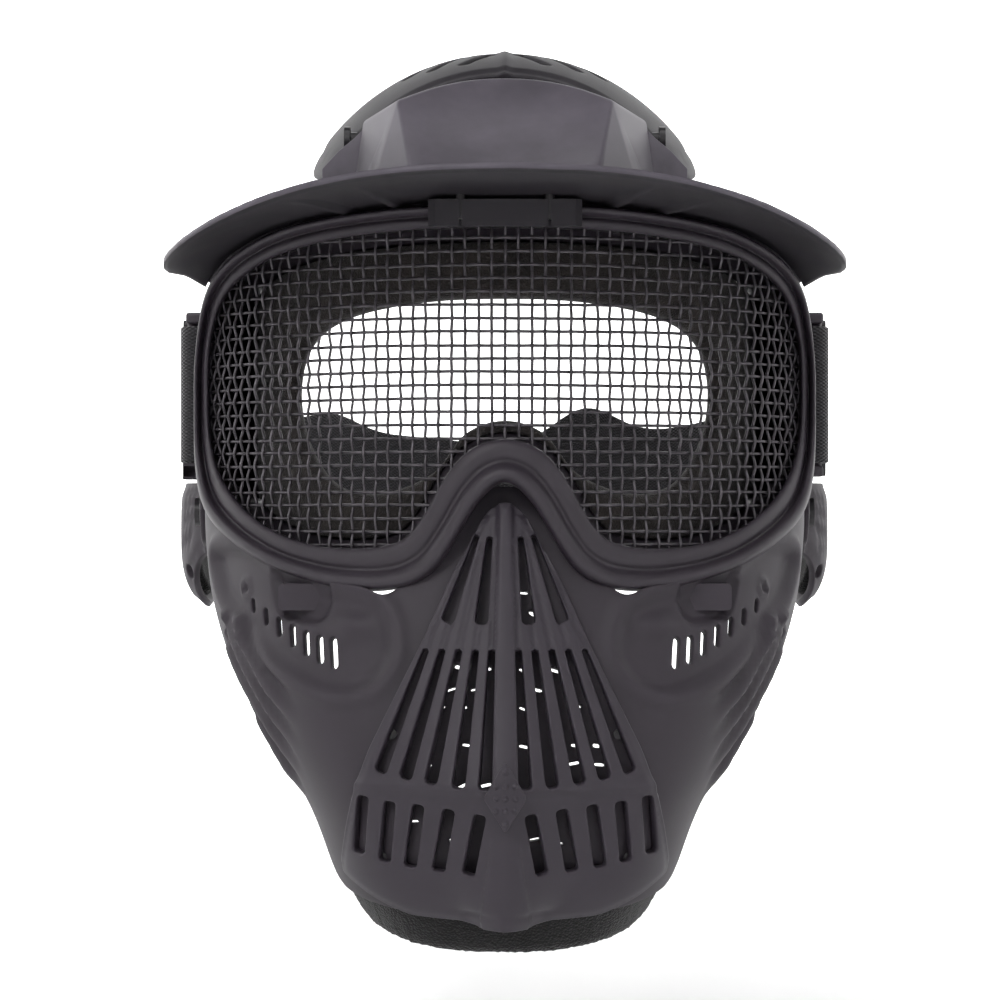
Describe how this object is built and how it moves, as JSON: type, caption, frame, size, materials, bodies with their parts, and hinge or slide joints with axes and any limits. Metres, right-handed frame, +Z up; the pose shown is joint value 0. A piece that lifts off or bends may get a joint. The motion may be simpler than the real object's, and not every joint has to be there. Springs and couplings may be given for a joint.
{
  "type": "full-face mesh goggle mask",
  "caption": "Full-face protective mask with a woven wire goggle lens, slotted mouth guard, sun visor, crown guard, ear guards and an elastic head strap.",
  "frame": {"origin": "centre of the wearer's head at eye level, on the mask's middle plane", "axes": "+Z up, -Y out of the face towards the viewer, +X to the viewer's right (the wearer's left)"},
  "size_m": [0.222, 0.2729, 0.281],
  "materials": {
    "shell_plastic": "fine matt texture",
    "visor_plastic": "satin",
    "goggle_rubber": "soft matt",
    "mesh_steel": "black coated wire",
    "foam": "open-cell foam",
    "webbing": "woven elastic",
    "buckle_plastic": "satin",
    "fastener_steel": "black oxide"
  },
  "bodies": {
    "mask": {"face_shell": "shell_plastic", "mouth_guard": "shell_plastic", "chin_diamond": "shell_plastic", "goggle_frame": "goggle_rubber", "frame_tab_left": "shell_plastic", "frame_tab_right": "shell_plastic", "goggle_skirt": "goggle_rubber", "lens_mesh": "mesh_steel", "lens_retainer": "buckle_plastic", "face_foam": "foam", "chin_pad": "foam", "guard_screws": "fastener_steel", "visor_screws": "fastener_steel", "visor": "visor_plastic", "brow_hood": "visor_plastic", "visor_bridge": "shell_plastic", "crown_pin_left": "buckle_plastic", "crown_pin_right": "buckle_plastic", "ear_rivet_left": "buckle_plastic", "ear_rivet_right": "buckle_plastic", "back_strap": "webbing"},
    "crown": {"crown_guard": "shell_plastic"},
    "ear_left": {"ear_guard_left": "shell_plastic", "ear_pad_left": "foam"},
    "ear_right": {"ear_guard_right": "shell_plastic", "ear_pad_right": "foam"},
    "slider_left": {"strap_slider_left": "buckle_plastic"},
    "slider_right": {"strap_slider_right": "buckle_plastic"}
  },
  "joints": [
    {"name": "crown_hinge", "type": "hinge", "parent": "mask", "child": "crown", "pos_m": [0, -0.054, 0.084], "axis": [1, 0, 0], "range_deg": [0, 15]},
    {"name": "ear_hinge_left", "type": "hinge", "parent": "mask", "child": "ear_left", "pos_m": [-0.098, -0.008, -0.034], "axis": [1, 0, 0], "range_deg": [-15, 0]},
    {"name": "ear_hinge_right", "type": "hinge", "parent": "mask", "child": "ear_right", "pos_m": [0.098, -0.008, -0.034], "axis": [1, 0, 0], "range_deg": [-15, 0]},
    {"name": "slider_slide_left", "type": "slide", "parent": "mask", "child": "slider_left", "axis": [0, 1, 0], "range_m": [-0.008, 0.024]},
    {"name": "slider_slide_right", "type": "slide", "parent": "mask", "child": "slider_right", "axis": [0, 1, 0], "range_m": [-0.008, 0.024]}
  ]
}
